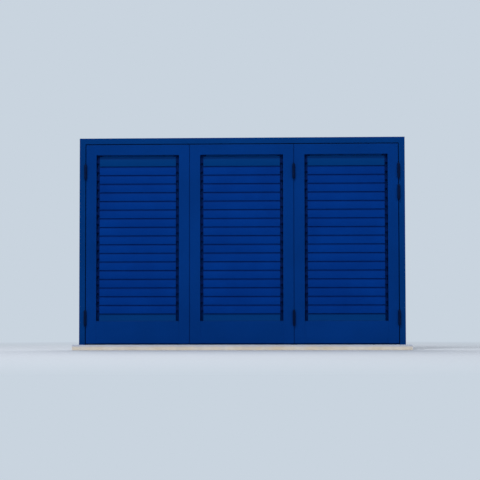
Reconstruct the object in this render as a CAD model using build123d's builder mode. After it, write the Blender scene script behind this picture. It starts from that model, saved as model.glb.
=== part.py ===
from build123d import *
import math
import os

os.makedirs("parts", exist_ok=True)

# Three leaf louvred shutter window: one leaf on the left jamb, a folding pair on the right jamb,
# a reveal lining and an inward opening casement window behind, all standing on a stone sill.
# X runs to the right, Y runs inwards from the shutter's front face, Z runs up from the sill's underside.

# Overall
frame_width = 2100.0
frame_height = 1335.0

# Stone sill
sill_thickness = 35.0
sill_overhang = 40.0
sill_horn = 40.0
sill_edge_radius = 3.0
drip_width = 7.0
drip_depth = 5.0
drip_from_front = 10.0

# Shutter frame
frame_face = 38.0
stop_thickness = 13.0
stop_reach = 22.0
stop_bar_height = 18.0
stop_joint_gap = 0.3
edge_radius = 1.5
gasket_width = 8.0
gasket_gap = 0.3

# Shutter leaves
leaf_count = 3
seam = 5.0
leaf_thickness = 45.0
leaf_floor_gap = 8.0
leaf_stop_gap = 2.0
stile_face = 67.0
top_rail_face = 67.0
bottom_rail_face = 144.0
rail_setback = 1.5

# Noses that close the two seams between the leaves, and the lap behind the folding seam
nose_reach = 2.15
nose_front = 2.0
nose_depth = 10.0
nose_hinge_gap = 1.0
lap_thickness = 2.5
lap_gap = 0.5
lap_reach = 13.0
lap_root = 12.0
lap_end_gap = 3.0

# Slats and their racks
slat_pitch = 56.0
slat_chord = 64.0
slat_thickness = 9.0
slat_edge = 2.0
slat_tilt = 8.0
slat_axis_y = 14.0
slat_end_gap = 19.5
slat_top_gap = 9.0
strip_thickness = 5.0
strip_front = 3.0
rack_depth = 8.0
rack_back_gap = 2.0
rack_arm_thickness = 4.0
rack_arm_height = 11.0
rack_tongue_thickness = 3.0
rack_tongue_height = 24.0

# Shutter hinges
hinge_axis_y = -10.0
barrel_radius = 8.5
barrel_height = 74.0
end_knuckle_height = 24.0
knuckle_gap = 0.4
finial_height = 16.0
finial_tip_radius = 3.0
hinge_pin_radius = 4.5
pin_clearance = 0.05
wing_thickness = 2.0
wing_depth = 34.0
wing_clearance = 0.3
upper_hinge_drop = 219.0
extra_hinge_drop = 358.0
lower_hinge_rise = 172.0

# Turning rod that locks the middle leaf
rod_radius = 7.0
rod_standoff = 21.0
rod_from_edge = 34.0
rod_end_gap = 6.0
rod_clearance = 0.06
hook_thickness = 12.0
hook_hub_radius = 12.0
hook_radius = 34.0
hook_width = 8.0
hook_start_angle = -15.0
hook_sweep_angle = 43.0
hook_end_gap = 3.0
guide_width = 24.0
guide_height = 16.0
guide_wall = 3.0
guide_plate_height = 44.0
guide_end_inset = 60.0
lever_rise = 560.0
lever_length = 110.0
lever_hub_radius = 13.0
lever_hub_height = 24.0
lever_width = 16.0
lever_tip_width = 11.0
lever_thickness = 9.0
lever_guide_gap = 30.0
keeper_peg_radius = 3.5
keeper_peg_distance = 22.0
keeper_peg_angle = 100.0
keeper_plate = 3.0
keeper_shelf = 4.0
keeper_width = 32.0
keeper_plate_height = 34.0

# Sliding bolts of the left leaf
bolt_radius = 4.0
bolt_clearance = 0.06
bolt_slot_play_x = 1.0
bolt_slot_play_y = 0.5
bolt_standoff = 8.5
bolt_length = 120.0
bolt_tip_gap = 2.0
bolt_top_travel = 22.0
bolt_bottom_travel = 17.0
bolt_knob_radius = 3.5
bolt_knob_length = 16.0
bolt_plate_thickness = 2.0
bolt_plate_width = 24.0
bolt_guide_height = 12.0
bolt_guide_wall = 4.0

# Reveal lining
lining_thickness = 20.0
reveal_depth = 130.0
anchor_radius = 5.25
anchor_spacing_y = 60.0
anchor_spacing_z = 900.0
head_anchor_spacing_x = 1400.0

# Window frame
window_face = 50.0
window_depth = 60.0
window_lip_thickness = 10.0
window_lip_reach = 15.0
mullion_width = 50.0
window_gasket_width = 7.0

# Sashes
sash_gap = 4.0
sash_seal_space = 3.0
sash_face = 60.0
sash_cover_reach = 10.0
sash_cover_thickness = 7.0
sash_cover_gap = 1.0
glass_thickness = 24.0
glass_edge_gap = 3.0
glass_lip = 10.0
bead_width = 14.0
bead_setback = 2.0
bead_bevel = 8.0

# Window hinges
window_barrel_radius = 6.5
window_barrel_out = 7.0
window_knuckle = 34.0
window_pin_radius = 3.0
window_plate_thickness = 2.5
window_plate_width = 22.0
window_hinge_inset = 170.0

# Window handles
handle_rise = 0.0
rosette_width = 30.0
rosette_height = 70.0
rosette_thickness = 8.0
handle_neck_radius = 8.0
handle_neck_length = 34.0
handle_length = 125.0
handle_width = 20.0
handle_thickness = 12.0
handle_clearance = 0.06

# Levels and planes that the pieces share
half_width = frame_width / 2
sill_top = sill_thickness
frame_top = sill_top + frame_height
pocket_half = half_width - frame_face
pocket_top = frame_top - frame_face
stop_front = leaf_thickness + leaf_stop_gap
stop_back = stop_front + stop_thickness
stop_half = pocket_half - stop_reach
stop_top = pocket_top - stop_reach
leaf_bottom = sill_top + leaf_floor_gap
leaf_top = pocket_top - seam
leaf_width = (2 * pocket_half - (leaf_count + 1) * seam) / leaf_count
leaf_lefts = [-pocket_half + seam + index * (leaf_width + seam) for index in range(leaf_count)]
seam_centres = [-pocket_half + seam / 2 + index * (leaf_width + seam) for index in range(leaf_count + 1)]
reveal_back = stop_back + reveal_depth
window_back = reveal_back + window_depth
upper_hinge_z = frame_top - upper_hinge_drop
extra_hinge_z = frame_top - extra_hinge_drop
lower_hinge_z = sill_top + lower_hinge_rise
bolt_x = leaf_lefts[0] + leaf_width - stile_face / 2
bolt_y = leaf_thickness + bolt_standoff
top_bolt_tip = stop_top - bolt_tip_gap
bottom_bolt_tip = sill_top + stop_bar_height + bolt_tip_gap


def front_plane(depth):
    # Faces the viewer: local x is X, local y is Z, and a negative extrusion runs inwards.
    return Plane.XZ.offset(-depth)


def side_plane(x):
    # Local x is Y, local y is Z.
    return Plane.YZ.offset(x)


def save(piece, label):
    piece.part.label = label
    export_step(piece.part, f"parts/{label}.step")


# Stone sill: the nosing runs on past the frame at both ends and carries a drip groove
def make_sill():
    nose_half = half_width + sill_horn
    with BuildPart() as sill:
        with BuildSketch(Plane.XY):
            with Locations((0, window_back / 2)):
                Rectangle(2 * half_width, window_back)
            with Locations((0, -sill_overhang / 2)):
                Rectangle(2 * nose_half, sill_overhang)
        extrude(amount=sill_thickness)
        front_edges = sill.faces().sort_by(Axis.Y)[0].edges().filter_by(Axis.X)
        fillet(front_edges, radius=sill_edge_radius)
        with BuildSketch(side_plane(-nose_half)):
            with Locations((-sill_overhang + drip_from_front + drip_width / 2, drip_depth / 2)):
                Rectangle(drip_width, drip_depth)
        extrude(amount=2 * nose_half, mode=Mode.SUBTRACT)
    save(sill, "sill")


# Shutter frame: two jambs and a head of one square edged profile, mitred at the upper corners
def make_jamb(side, label):
    mitre = Plane(
        origin=(side * half_width, 0, frame_top),
        x_dir=(0, 1, 0),
        z_dir=(side, 0, -1),
    )
    with BuildPart() as jamb:
        with BuildSketch(Plane.XY.offset(sill_top)):
            with Locations((side * (half_width + pocket_half) / 2, stop_back / 2)):
                Rectangle(frame_face, stop_back)
        extrude(amount=frame_height)
        fillet(jamb.faces().sort_by(Axis.Y)[0].edges().filter_by(Axis.Z), radius=edge_radius)
        split(bisect_by=mitre, keep=Keep.TOP)
    save(jamb, label)


def make_head():
    with BuildPart() as head:
        with BuildSketch(side_plane(-half_width)):
            with Locations((stop_back / 2, (pocket_top + frame_top) / 2)):
                Rectangle(stop_back, frame_face)
        extrude(amount=2 * half_width)
        fillet(head.faces().sort_by(Axis.Y)[0].edges().filter_by(Axis.X), radius=edge_radius)
        for side in (-1, 1):
            mitre = Plane(
                origin=(side * half_width, 0, frame_top),
                x_dir=(0, 1, 0),
                z_dir=(-side, 0, 1),
            )
            split(bisect_by=mitre, keep=Keep.TOP)
    save(head, "shutter_frame_head")


# Stop bars behind the leaves, one along each jamb, one under the head and a low one on the sill
def bolt_slot():
    with Locations((bolt_x, bolt_y)):
        slot_width = 2 * (bolt_radius + bolt_slot_play_x)
        slot_depth = 2 * (bolt_radius + bolt_slot_play_y)
        Rectangle(slot_width, slot_depth, mode=Mode.SUBTRACT)


def make_frame_stops():
    bar_x = (pocket_half + stop_half) / 2
    bar_y = (stop_front + stop_back) / 2
    with BuildPart() as stops:
        with BuildSketch(Plane.XY.offset(sill_top)):
            with Locations((-bar_x, bar_y), (bar_x, bar_y)):
                Rectangle(stop_reach, stop_thickness)
        extrude(amount=stop_top - stop_joint_gap - sill_top)
        with BuildSketch(Plane.XY.offset(stop_top)):
            with Locations((0, bar_y)):
                Rectangle(2 * pocket_half, stop_thickness)
            bolt_slot()
        extrude(amount=stop_reach)
    save(stops, "shutter_frame_stops")


def make_stop_bar():
    with BuildPart() as bar:
        with BuildSketch(Plane.XY.offset(sill_top)):
            with Locations((0, (stop_front + stop_back) / 2)):
                Rectangle(2 * (stop_half - stop_joint_gap), stop_thickness)
            bolt_slot()
        extrude(amount=stop_bar_height)
    save(bar, "shutter_stop_bar")


# Weather strips with a rounded nose, on the front of the stop bars
def make_frame_seals():
    nose = leaf_stop_gap - gasket_gap
    side_x = (pocket_half + stop_half) / 2
    head_z = (pocket_top + stop_top) / 2
    bar_z = (leaf_bottom + sill_top + stop_bar_height) / 2
    bar_top = sill_top + stop_bar_height
    bar_half = stop_half - stop_joint_gap
    with BuildSketch() as profile:
        with BuildLine():
            back = Line((stop_front, -gasket_width / 2), (stop_front, gasket_width / 2))
            ThreePointArc(back @ 1, (stop_front - nose, 0), back @ 0)
        make_face()
    with BuildPart() as seals:
        for x in (-side_x, side_x):
            upright = Plane(origin=(x, 0, bar_top), x_dir=(0, 1, 0), z_dir=(0, 0, 1))
            with BuildSketch(upright):
                add(profile.sketch)
            extrude(amount=head_z - gasket_width / 2 - bar_top)
        with BuildSketch(side_plane(-side_x - gasket_width / 2)):
            with Locations((0, head_z)):
                add(profile.sketch)
        extrude(amount=2 * side_x + gasket_width)
        with BuildSketch(side_plane(-bar_half)):
            with Locations((0, bar_z)):
                add(profile.sketch)
        extrude(amount=2 * bar_half)
    save(seals, "shutter_frame_seals")


# Leaf members: stiles run the full height, the top rail is mitred and the bottom rail is butted.
# The stiles at the seams between leaves have a nose, which is left out beside each hinge.
nose_cut = barrel_height / 2 + nose_hinge_gap
plain_nose = [(leaf_bottom, leaf_top)]
fold_nose = [
    (leaf_bottom, lower_hinge_z - nose_cut),
    (lower_hinge_z + nose_cut, upper_hinge_z - nose_cut),
    (upper_hinge_z + nose_cut, leaf_top),
]


def make_stile(outer_x, inner_x, label, nose_spans=(), lapped=False):
    outwards = math.copysign(1, outer_x - inner_x)
    nose_middle = (outer_x + outwards * nose_reach / 2, nose_front + nose_depth / 2)
    with BuildPart() as stile:
        with BuildSketch(front_plane(0)):
            with BuildLine():
                Polyline(
                    (outer_x, leaf_bottom),
                    (inner_x, leaf_bottom),
                    (inner_x, leaf_top - top_rail_face),
                    (outer_x, leaf_top),
                    close=True,
                )
            make_face()
        extrude(amount=-leaf_thickness)
        fillet(stile.edges().filter_by(Axis.Z), radius=edge_radius)
        for low, high in nose_spans:
            with BuildSketch(Plane.XY.offset(low)):
                with Locations(nose_middle):
                    Rectangle(nose_reach, nose_depth)
            extrude(amount=high - low)
        if lapped:
            lap_front = leaf_thickness + lap_gap
            lap_back = lap_front + lap_thickness
            lap_bottom = sill_top + stop_bar_height + lap_end_gap
            with BuildSketch(Plane.XY.offset(lap_bottom)):
                with BuildLine():
                    Polyline(
                        (outer_x, leaf_thickness),
                        (outer_x - outwards * lap_root, leaf_thickness),
                        (outer_x - outwards * lap_root, lap_back),
                        (outer_x + outwards * lap_reach, lap_back),
                        (outer_x + outwards * lap_reach, lap_front),
                        (outer_x, lap_front),
                        close=True,
                    )
                make_face()
            extrude(amount=stop_top - lap_end_gap - lap_bottom)
    save(stile, label)


def make_top_rail(left, label):
    right = left + leaf_width
    with BuildPart() as rail:
        with BuildSketch(front_plane(0)):
            with BuildLine():
                Polyline(
                    (left, leaf_top),
                    (left + stile_face, leaf_top - top_rail_face),
                    (right - stile_face, leaf_top - top_rail_face),
                    (right, leaf_top),
                    close=True,
                )
            make_face()
        extrude(amount=-leaf_thickness)
        fillet(rail.edges().filter_by(Axis.X), radius=edge_radius)
    save(rail, label)


def make_bottom_rail(left, label):
    with BuildPart() as rail:
        with BuildSketch(front_plane(rail_setback)):
            with Locations((left + leaf_width / 2, leaf_bottom + bottom_rail_face / 2)):
                Rectangle(leaf_width - 2 * stile_face, bottom_rail_face)
        extrude(amount=-(leaf_thickness - 2 * rail_setback))
        fillet(rail.edges().filter_by(Axis.X), radius=edge_radius)
    save(rail, label)


# Slats: a two sided lens section, its lower edge tilted to the front over the slat below
slat_rise = slat_chord * math.cos(math.radians(slat_tilt))
rail_bottom = leaf_top - top_rail_face
rail_top = leaf_bottom + bottom_rail_face
top_slat_z = rail_bottom - slat_top_gap - slat_rise / 2
slat_room = top_slat_z - rail_top - slat_rise / 2
slat_count = int(slat_room // slat_pitch) + 1
slat_heights = [top_slat_z - index * slat_pitch for index in range(slat_count)]
last_slat_bottom = slat_heights[-1] - slat_rise / 2
slat_lap = slat_rise - slat_pitch
strip_top = last_slat_bottom + slat_lap
strip_top_front = slat_axis_y + slat_chord / 2 * math.sin(math.radians(slat_tilt)) - slat_edge / 2


def make_slats(left, label):
    slat_left = left + stile_face + slat_end_gap
    slat_length = leaf_width - 2 * (stile_face + slat_end_gap)
    with BuildSketch() as blade:
        with BuildLine():
            lower = Line((-slat_edge / 2, -slat_chord / 2), (slat_edge / 2, -slat_chord / 2))
            upper = Line((slat_edge / 2, slat_chord / 2), (-slat_edge / 2, slat_chord / 2))
            ThreePointArc(lower @ 1, (slat_thickness / 2, 0), upper @ 0)
            ThreePointArc(upper @ 1, (-slat_thickness / 2, 0), lower @ 0)
        make_face()
    with BuildPart() as slats:
        with BuildSketch(side_plane(slat_left)):
            with Locations(*[(slat_axis_y, height) for height in slat_heights]):
                add(blade.sketch, rotation=-slat_tilt)
        extrude(amount=slat_length)
        with BuildSketch(side_plane(slat_left)):
            with BuildLine():
                Polyline(
                    (strip_front, rail_top),
                    (strip_front + strip_thickness, rail_top),
                    (strip_top_front + strip_thickness, strip_top),
                    (strip_top_front, strip_top),
                    close=True,
                )
            make_face()
        extrude(amount=slat_length)
    save(slats, label)


# Racks: a black bar down each stile's inner side, with an arm and a flat tongue to the end of every slat
def make_racks(left, label):
    bar_back = leaf_thickness - rack_back_gap
    bar_front = bar_back - rack_depth
    arm_front = slat_axis_y - rack_arm_height / 2
    right = left + leaf_width
    with BuildPart() as racks:
        for wall, inwards in ((left + stile_face, 1), (right - stile_face, -1)):
            with BuildSketch(Plane.XY.offset(rail_top)):
                with Locations((wall + inwards * slat_end_gap / 2, (bar_front + bar_back) / 2)):
                    Rectangle(slat_end_gap, rack_depth)
            extrude(amount=rail_bottom - rail_top)
            with BuildSketch(side_plane(wall)):
                with Locations(*[((arm_front + bar_front) / 2, height) for height in slat_heights]):
                    Rectangle(bar_front - arm_front, rack_arm_height)
            extrude(amount=inwards * rack_arm_thickness)
            with BuildSketch(side_plane(wall)):
                with Locations(*[(slat_axis_y, height) for height in slat_heights]):
                    Rectangle(rack_tongue_thickness, rack_tongue_height, rotation=-slat_tilt)
            extrude(amount=inwards * slat_end_gap)
    save(racks, label)


# Shutter hinges: three knuckles on a pin with slender pointed ends, and thin wings inside the seam
knuckle_low = -barrel_height / 2
knuckle_high = barrel_height / 2
leaf_knuckles = [
    (knuckle_low, knuckle_low + end_knuckle_height),
    (knuckle_high - end_knuckle_height, knuckle_high),
]
frame_knuckles = [
    (knuckle_low + end_knuckle_height + knuckle_gap, knuckle_high - end_knuckle_height - knuckle_gap),
]
wing_front = hinge_axis_y + barrel_radius + wing_clearance


def make_hinge_halves(places, side, knuckles, label):
    wing_offset = side * (seam - wing_thickness) / 2
    neck_depth = wing_front - hinge_axis_y
    with BuildPart() as halves:
        for axis_x, middle_z in places:
            with BuildSketch(Plane.XY.offset(middle_z + knuckle_low)):
                with Locations((axis_x + wing_offset, wing_front + wing_depth / 2)):
                    Rectangle(wing_thickness, wing_depth)
            extrude(amount=barrel_height)
            for low, high in knuckles:
                with BuildSketch(Plane.XY.offset(middle_z + low)):
                    with Locations((axis_x, hinge_axis_y)):
                        Circle(barrel_radius)
                    with Locations((axis_x + wing_offset, hinge_axis_y + neck_depth / 2)):
                        Rectangle(wing_thickness, neck_depth)
                    with Locations((axis_x, hinge_axis_y)):
                        Circle(hinge_pin_radius + pin_clearance, mode=Mode.SUBTRACT)
                extrude(amount=high - low)
    save(halves, label)


def make_hinge_pins(places, label):
    shank = barrel_height / 2 + wing_clearance
    tip = shank + finial_height
    with BuildPart() as pins:
        for axis_x, middle_z in places:
            profile = Plane(origin=(axis_x, hinge_axis_y, middle_z), x_dir=(1, 0, 0), z_dir=(0, -1, 0))
            with BuildSketch(profile):
                with BuildLine():
                    Polyline(
                        (barrel_radius, -shank),
                        (hinge_pin_radius, -shank),
                        (hinge_pin_radius, shank),
                        (barrel_radius, shank),
                    )
                    TangentArc((barrel_radius, shank), (finial_tip_radius, tip), tangent=(0, 1))
                    Polyline((finial_tip_radius, tip), (0, tip), (0, -tip), (finial_tip_radius, -tip))
                    TangentArc((barrel_radius, -shank), (finial_tip_radius, -tip), tangent=(0, -1))
                make_face()
            revolve(axis=Axis((axis_x, hinge_axis_y, middle_z), (0, 0, 1)))
    save(pins, label)


# Turning rod of the middle leaf: a hook near each end wraps behind a fixed peg
rod_x = leaf_lefts[1] + rod_from_edge
rod_y = leaf_thickness + rod_standoff
rod_bottom = sill_top + stop_bar_height + rod_end_gap
rod_top = stop_top - rod_end_gap
lower_hook_z = rod_bottom + hook_end_gap
upper_hook_z = rod_top - hook_end_gap - hook_thickness
lever_z = sill_top + lever_rise
peg_x = rod_x + keeper_peg_distance * math.cos(math.radians(keeper_peg_angle))
peg_y = rod_y + keeper_peg_distance * math.sin(math.radians(keeper_peg_angle))


def make_rod():
    with BuildPart() as rod:
        with BuildSketch(Plane.XY.offset(rod_bottom)):
            with Locations((rod_x, rod_y)):
                Circle(rod_radius)
        extrude(amount=rod_top - rod_bottom)
    save(rod, "lock_rod")


def make_hooks():
    finger = CenterArc((0, 0), hook_radius, 0, hook_sweep_angle)
    with BuildPart() as hooks:
        for level in (lower_hook_z, upper_hook_z):
            arm_plane = Plane(
                origin=(rod_x, rod_y, level),
                x_dir=Vector(1, 0, 0).rotate(Axis.Z, hook_start_angle),
                z_dir=(0, 0, 1),
            )
            with BuildSketch(arm_plane):
                Circle(hook_hub_radius)
                with Locations((hook_radius / 2, 0)):
                    Rectangle(hook_radius, hook_width)
                SlotArc(finger, hook_width)
                Circle(rod_radius + rod_clearance, mode=Mode.SUBTRACT)
            extrude(amount=hook_thickness)
    save(hooks, "lock_hooks")


def make_lever():
    with BuildPart() as lever:
        hub_bottom = lever_z - lever_hub_height / 2
        with BuildSketch(Plane.XY.offset(hub_bottom)):
            with Locations((rod_x, rod_y)):
                Circle(lever_hub_radius)
        extrude(amount=lever_hub_height)
        with BuildSketch(Plane.XY.offset(lever_z - lever_thickness / 2)):
            with BuildLine():
                tip_y = rod_y + lever_length - lever_tip_width / 2
                right = Line(
                    (rod_x + lever_width / 2, rod_y),
                    (rod_x + lever_tip_width / 2, tip_y),
                )
                left = Line(
                    (rod_x - lever_tip_width / 2, tip_y),
                    (rod_x - lever_width / 2, rod_y),
                )
                ThreePointArc(right @ 1, (rod_x, rod_y + lever_length), left @ 0)
                Line(left @ 1, right @ 0)
            make_face()
        extrude(amount=lever_thickness)
        with BuildSketch(Plane.XY.offset(hub_bottom)):
            with Locations((rod_x, rod_y)):
                Circle(rod_radius + rod_clearance)
        extrude(amount=lever_hub_height, mode=Mode.SUBTRACT)
    save(lever, "lock_lever")


def make_rod_guides():
    lever_gap = lever_hub_height / 2 + lever_guide_gap
    levels = (
        rod_bottom + guide_end_inset,
        lever_z - lever_gap,
        lever_z + lever_gap,
        rod_top - guide_end_inset,
    )
    block_back = rod_y + rod_radius + guide_wall
    with BuildPart() as guides:
        for level in levels:
            with BuildSketch(front_plane(leaf_thickness)):
                with Locations((rod_x, level)):
                    RectangleRounded(guide_width, guide_plate_height, guide_wall)
            extrude(amount=-guide_wall)
            with BuildSketch(Plane.XY.offset(level - guide_height / 2)):
                with Locations((rod_x, (leaf_thickness + block_back) / 2)):
                    Rectangle(2 * (rod_radius + guide_wall), block_back - leaf_thickness)
                with Locations((rod_x, rod_y)):
                    Circle(rod_radius + rod_clearance, mode=Mode.SUBTRACT)
            extrude(amount=guide_height)
    save(guides, "lock_rod_guides")


# Keepers: a peg hangs from a bracket behind the head and another stands on the sill
def make_keepers():
    shelf_bottom = rod_top + (stop_top - rod_top) / 2
    shelf_back = peg_y + 2 * keeper_peg_radius
    shelf_depth = shelf_back - stop_back
    base_depth = shelf_depth - keeper_plate
    with BuildPart() as keepers:
        with BuildSketch(front_plane(stop_back)):
            with Locations((peg_x, shelf_bottom + keeper_plate_height / 2)):
                Rectangle(keeper_width, keeper_plate_height)
        extrude(amount=-keeper_plate)
        with BuildSketch(Plane.XY.offset(shelf_bottom)):
            with Locations((peg_x, stop_back + shelf_depth / 2)):
                Rectangle(keeper_width, shelf_depth)
        extrude(amount=keeper_shelf)
        with BuildSketch(Plane.XY.offset(upper_hook_z - hook_end_gap)):
            with Locations((peg_x, peg_y)):
                Circle(keeper_peg_radius)
        extrude(amount=shelf_bottom - (upper_hook_z - hook_end_gap))
        with BuildSketch(Plane.XY.offset(sill_top)):
            with Locations((peg_x, shelf_back - base_depth / 2)):
                Rectangle(keeper_width, base_depth)
        extrude(amount=keeper_shelf)
        with BuildSketch(Plane.XY.offset(sill_top)):
            with Locations((peg_x, peg_y)):
                Circle(keeper_peg_radius)
        extrude(amount=lower_hook_z + hook_thickness + hook_end_gap - sill_top)
    save(keepers, "lock_keepers")


# Sliding bolts on the back of the left leaf, one up into the head and one down into the stop bar


def bolt_spans(tip, direction):
    # Two guides: one close behind the tip, the other near the tail, with the knob between them.
    near = tip - direction * (bolt_guide_height + bolt_tip_gap)
    far = tip - direction * bolt_length
    return near, far


def make_bolt(tip, direction, label):
    tail = tip - direction * (bolt_length + bolt_guide_height / 2)
    near, far = bolt_spans(tip, direction)
    knob_z = far + direction * (bolt_guide_height / 2 + 2 * bolt_knob_radius)
    with BuildPart() as bolt:
        with BuildSketch(Plane.XY.offset(tail)):
            with Locations((bolt_x, bolt_y)):
                Circle(bolt_radius)
        extrude(amount=tip - tail)
        with BuildSketch(front_plane(bolt_y)):
            with Locations((bolt_x, knob_z)):
                Circle(bolt_knob_radius)
        extrude(amount=-bolt_knob_length)
    save(bolt, label)


def make_bolt_guides():
    block_width = 2 * (bolt_radius + bolt_guide_wall)
    block_depth = bolt_standoff + bolt_radius + bolt_guide_wall
    with BuildPart() as guides:
        for tip, direction in ((top_bolt_tip, 1), (bottom_bolt_tip, -1)):
            near, far = bolt_spans(tip, direction)
            plate_height = abs(near - far) + 2 * bolt_guide_height
            with BuildSketch(front_plane(leaf_thickness)):
                with Locations((bolt_x, (near + far) / 2)):
                    RectangleRounded(bolt_plate_width, plate_height, bolt_plate_thickness)
            extrude(amount=-bolt_plate_thickness)
            for level in (near, far):
                with BuildSketch(Plane.XY.offset(level - bolt_guide_height / 2)):
                    with Locations((bolt_x, leaf_thickness + block_depth / 2)):
                        Rectangle(block_width, block_depth)
                    with Locations((bolt_x, bolt_y)):
                        Circle(bolt_radius + bolt_clearance, mode=Mode.SUBTRACT)
                extrude(amount=bolt_guide_height)
    save(guides, "left_leaf_bolt_guides")


# Reveal lining boards, which carry the shutter frame and the window frame
def make_side_lining(side, label):
    board_x = side * (half_width - lining_thickness / 2)
    anchor_y = stop_back + reveal_depth / 2
    anchor_z = sill_top + frame_height / 2
    with BuildPart() as board:
        with BuildSketch(Plane.XY.offset(sill_top)):
            with Locations((board_x, (stop_back + window_back) / 2)):
                Rectangle(lining_thickness, window_back - stop_back)
        extrude(amount=frame_height)
        with BuildSketch(side_plane(side * half_width)):
            with Locations((anchor_y, anchor_z)):
                with GridLocations(anchor_spacing_y, anchor_spacing_z, 2, 2):
                    Circle(anchor_radius)
        extrude(amount=-side * lining_thickness, mode=Mode.SUBTRACT)
    save(board, label)


def make_head_lining():
    anchor_y = stop_back + reveal_depth / 2
    with BuildPart() as board:
        with BuildSketch(Plane.XY.offset(frame_top - lining_thickness)):
            with Locations((0, (stop_back + window_back) / 2)):
                Rectangle(2 * (half_width - lining_thickness), window_back - stop_back)
            with Locations((0, anchor_y)):
                with GridLocations(head_anchor_spacing_x, anchor_spacing_y, 2, 2):
                    Circle(anchor_radius, mode=Mode.SUBTRACT)
        extrude(amount=lining_thickness)
    save(board, "lining_head")


# Window frame: one welded ring with a lip on the weather side, and a mullion between the lights
window_half = half_width - lining_thickness
window_bottom = sill_top
window_top = frame_top - lining_thickness
light_bottom = window_bottom + window_face
light_top = window_top - window_face
light_outer = window_half - window_face
lip_back = reveal_back + window_lip_thickness


def make_window_frame():
    middle_z = (window_bottom + window_top) / 2
    ring_width = 2 * window_half
    ring_height = window_top - window_bottom
    with BuildPart() as ring:
        with BuildSketch(front_plane(reveal_back)):
            with Locations((0, middle_z)):
                Rectangle(ring_width, ring_height)
                inner_width = ring_width - 2 * (window_face + window_lip_reach)
                inner_height = ring_height - 2 * (window_face + window_lip_reach)
                Rectangle(inner_width, inner_height, mode=Mode.SUBTRACT)
        extrude(amount=-window_lip_thickness)
        with BuildSketch(front_plane(lip_back)):
            with Locations((0, middle_z)):
                Rectangle(ring_width, ring_height)
                Rectangle(ring_width - 2 * window_face, ring_height - 2 * window_face, mode=Mode.SUBTRACT)
        extrude(amount=-(window_back - lip_back))
    save(ring, "window_frame")


def make_mullion():
    middle_z = (light_bottom + light_top) / 2
    light_height = light_top - light_bottom
    with BuildPart() as mullion:
        with BuildSketch(front_plane(reveal_back)):
            with Locations((0, middle_z)):
                Rectangle(mullion_width + 2 * window_lip_reach, light_height - 2 * window_lip_reach)
        extrude(amount=-window_lip_thickness)
        with BuildSketch(front_plane(lip_back)):
            with Locations((0, middle_z)):
                Rectangle(mullion_width, light_height)
        extrude(amount=-(window_back - lip_back))
    save(mullion, "window_mullion")


# The left light is drawn and the right one is its mirror image
sash_left = -light_outer + sash_gap
sash_right = -mullion_width / 2 - sash_gap
sash_bottom = light_bottom + sash_gap
sash_top = light_top - sash_gap
sash_width = sash_right - sash_left
sash_height = sash_top - sash_bottom
sash_middle = ((sash_left + sash_right) / 2, (sash_bottom + sash_top) / 2)
sash_front = lip_back + sash_seal_space
cover_front = window_back + sash_cover_gap
cover_back = cover_front + sash_cover_thickness
glass_front = sash_front + glass_lip
glass_back = glass_front + glass_thickness


def mirrored_pair(piece, stem):
    # Writes the left hand piece and its mirror image on the other side of the mullion.
    save(piece, f"left_{stem}")
    with BuildPart() as twin:
        mirror(piece.part, about=Plane.YZ)
    save(twin, f"right_{stem}")


def sash_ring(outer_growth, inner_shrink):
    with Locations(sash_middle):
        Rectangle(sash_width + 2 * outer_growth, sash_height + 2 * outer_growth)
        Rectangle(
            sash_width - 2 * (sash_face - inner_shrink),
            sash_height - 2 * (sash_face - inner_shrink),
            mode=Mode.SUBTRACT,
        )


def make_window_seals():
    rim = sash_gap + window_lip_reach - window_gasket_width
    margin = rim / 2 - sash_gap
    with BuildPart() as seals:
        with BuildSketch(front_plane(lip_back)):
            with Locations(sash_middle):
                outer_width = sash_width - 2 * margin
                outer_height = sash_height - 2 * margin
                Rectangle(outer_width, outer_height)
                Rectangle(
                    outer_width - 2 * window_gasket_width,
                    outer_height - 2 * window_gasket_width,
                    mode=Mode.SUBTRACT,
                )
        extrude(amount=-(sash_seal_space - gasket_gap))
        mirror(about=Plane.YZ)
    save(seals, "window_seals")


def make_sash_frames():
    with BuildPart() as sash:
        with BuildSketch(front_plane(sash_front)):
            sash_ring(0, 0)
        extrude(amount=-glass_lip)
        with BuildSketch(front_plane(glass_front)):
            sash_ring(0, bead_width)
        extrude(amount=-(cover_front - glass_front))
        with BuildSketch(front_plane(cover_front)):
            sash_ring(sash_cover_reach, bead_width)
        extrude(amount=-sash_cover_thickness)
    mirrored_pair(sash, "sash_frame")


def make_glass():
    opening = sash_face - bead_width + glass_edge_gap
    with BuildPart() as glass:
        with BuildSketch(front_plane(glass_front)):
            with Locations(sash_middle):
                Rectangle(sash_width - 2 * opening, sash_height - 2 * opening)
        extrude(amount=-glass_thickness)
    mirrored_pair(glass, "sash_glass")


def make_beads():
    rebate_width = sash_width - 2 * (sash_face - bead_width)
    rebate_height = sash_height - 2 * (sash_face - bead_width)
    bead_back = cover_back - bead_setback
    with BuildPart() as beads:
        with BuildSketch(front_plane(glass_back)):
            with Locations(sash_middle):
                Rectangle(rebate_width, rebate_height)
                Rectangle(rebate_width - 2 * bead_width, rebate_height - 2 * bead_width, mode=Mode.SUBTRACT)
        extrude(amount=-(bead_back - glass_back))
        inner_edges = beads.faces().sort_by(Axis.Y)[-1].inner_wires()[0].edges()
        chamfer(inner_edges, length=bead_bevel)
    mirrored_pair(beads, "sash_beads")


# Window hinges: a lift-off barrel on the room side of each jamb
window_axis_x = sash_left - sash_cover_reach - window_barrel_out
window_axis_y = window_back + window_plate_thickness + window_barrel_radius
window_hinge_heights = (sash_bottom + window_hinge_inset, sash_top - window_hinge_inset)


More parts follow.
